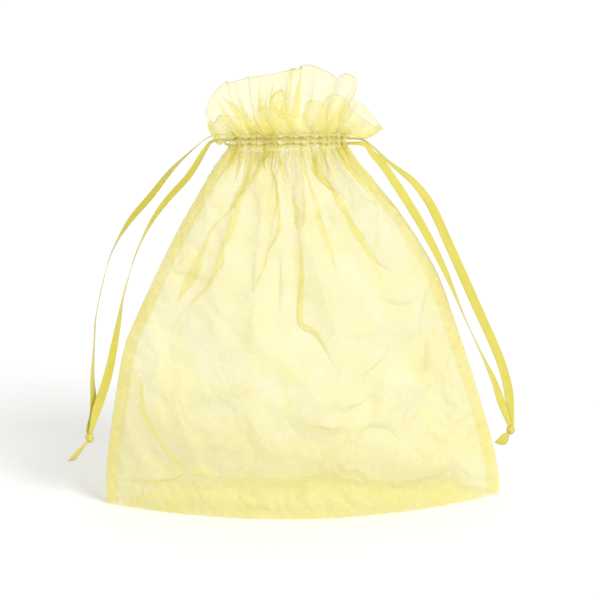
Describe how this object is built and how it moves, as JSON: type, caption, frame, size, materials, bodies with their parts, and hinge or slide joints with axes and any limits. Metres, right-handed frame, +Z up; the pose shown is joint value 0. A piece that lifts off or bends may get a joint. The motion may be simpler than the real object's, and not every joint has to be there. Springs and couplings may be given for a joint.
{
  "type": "drawstring gift pouch",
  "caption": "Sheer organza gift pouch standing drawn shut, with a flared frill above a gathered casing and ribbon drawstrings knotted at both sides.",
  "frame": {"origin": "centre of the base, on the surface that the pouch stands on", "axes": "+Z up through the neck, -Y the front of the pouch, +X towards the right-hand side seam as seen from the front"},
  "size_m": [0.269, 0.1046, 0.2623],
  "materials": {
    "organza": "sheer, crisp plain weave, pale yellow",
    "gathered_organza": "two or more plies of sheer organza, pale yellow",
    "satin_ribbon": "satin ribbon, soft sheen, yellow",
    "sewing_thread": "twisted polyester thread, matt, pale yellow"
  },
  "bodies": {
    "pouch_body": {"base": "organza", "front_panel": "organza", "back_panel": "organza", "left_side_seam": "gathered_organza", "right_side_seam": "gathered_organza", "left_seam_overlock": "sewing_thread", "right_seam_overlock": "sewing_thread", "front_casing_outer": "gathered_organza", "front_casing_inner": "gathered_organza", "back_casing_outer": "gathered_organza", "back_casing_inner": "gathered_organza", "front_lower_stitch_row": "sewing_thread", "front_upper_stitch_row": "sewing_thread", "back_lower_stitch_row": "sewing_thread", "back_upper_stitch_row": "sewing_thread", "front_frill": "gathered_organza", "back_frill": "gathered_organza"},
    "left_neck": {"left_frill_seam": "gathered_organza", "left_lower_bar_tack": "sewing_thread", "left_upper_bar_tack": "sewing_thread"},
    "right_neck": {"right_frill_seam": "gathered_organza", "right_lower_bar_tack": "sewing_thread", "right_upper_bar_tack": "sewing_thread"},
    "left_drawstring": {"left_ribbon_loop": "satin_ribbon"},
    "right_drawstring": {"right_ribbon_loop": "satin_ribbon"},
    "left_hanging_ribbon": {"left_front_strand": "satin_ribbon", "left_back_strand": "satin_ribbon", "left_knot": "satin_ribbon", "left_front_tail": "satin_ribbon", "left_back_tail": "satin_ribbon"},
    "right_hanging_ribbon": {"right_front_strand": "satin_ribbon", "right_back_strand": "satin_ribbon", "right_knot": "satin_ribbon", "right_front_tail": "satin_ribbon", "right_back_tail": "satin_ribbon"}
  },
  "joints": [
    {"name": "left_drawstring_pull", "type": "slide", "parent": "pouch_body", "child": "left_drawstring", "axis": [-1, 0, 0], "range_m": [0, 0.015]},
    {"name": "right_drawstring_pull", "type": "slide", "parent": "pouch_body", "child": "right_drawstring", "axis": [1, 0, 0], "range_m": [0, 0.015]},
    {"name": "left_neck_cinch", "type": "slide", "parent": "pouch_body", "child": "left_neck", "axis": [1, 0, 0], "range_m": [0, 0.015], "deforming": ["front_casing_inner", "back_casing_inner"]},
    {"name": "right_neck_cinch", "type": "slide", "parent": "pouch_body", "child": "right_neck", "axis": [-1, 0, 0], "range_m": [0, 0.015], "deforming": ["front_casing_inner", "back_casing_inner"]},
    {"name": "left_drawstring_swing", "type": "hinge", "parent": "left_drawstring", "child": "left_hanging_ribbon", "pos_m": [-0.054, 0, 0.2259], "axis": [0, 1, 0], "range_deg": [0, 70]},
    {"name": "right_drawstring_swing", "type": "hinge", "parent": "right_drawstring", "child": "right_hanging_ribbon", "pos_m": [0.035, 0, 0.2221], "axis": [0, -1, 0], "range_deg": [0, 70]}
  ],
  "couplings": [
    {"joint": "right_drawstring_pull", "follows": "left_drawstring_pull", "ratio": 1},
    {"joint": "left_neck_cinch", "follows": "left_drawstring_pull", "ratio": 1},
    {"joint": "right_neck_cinch", "follows": "left_drawstring_pull", "ratio": 1}
  ]
}
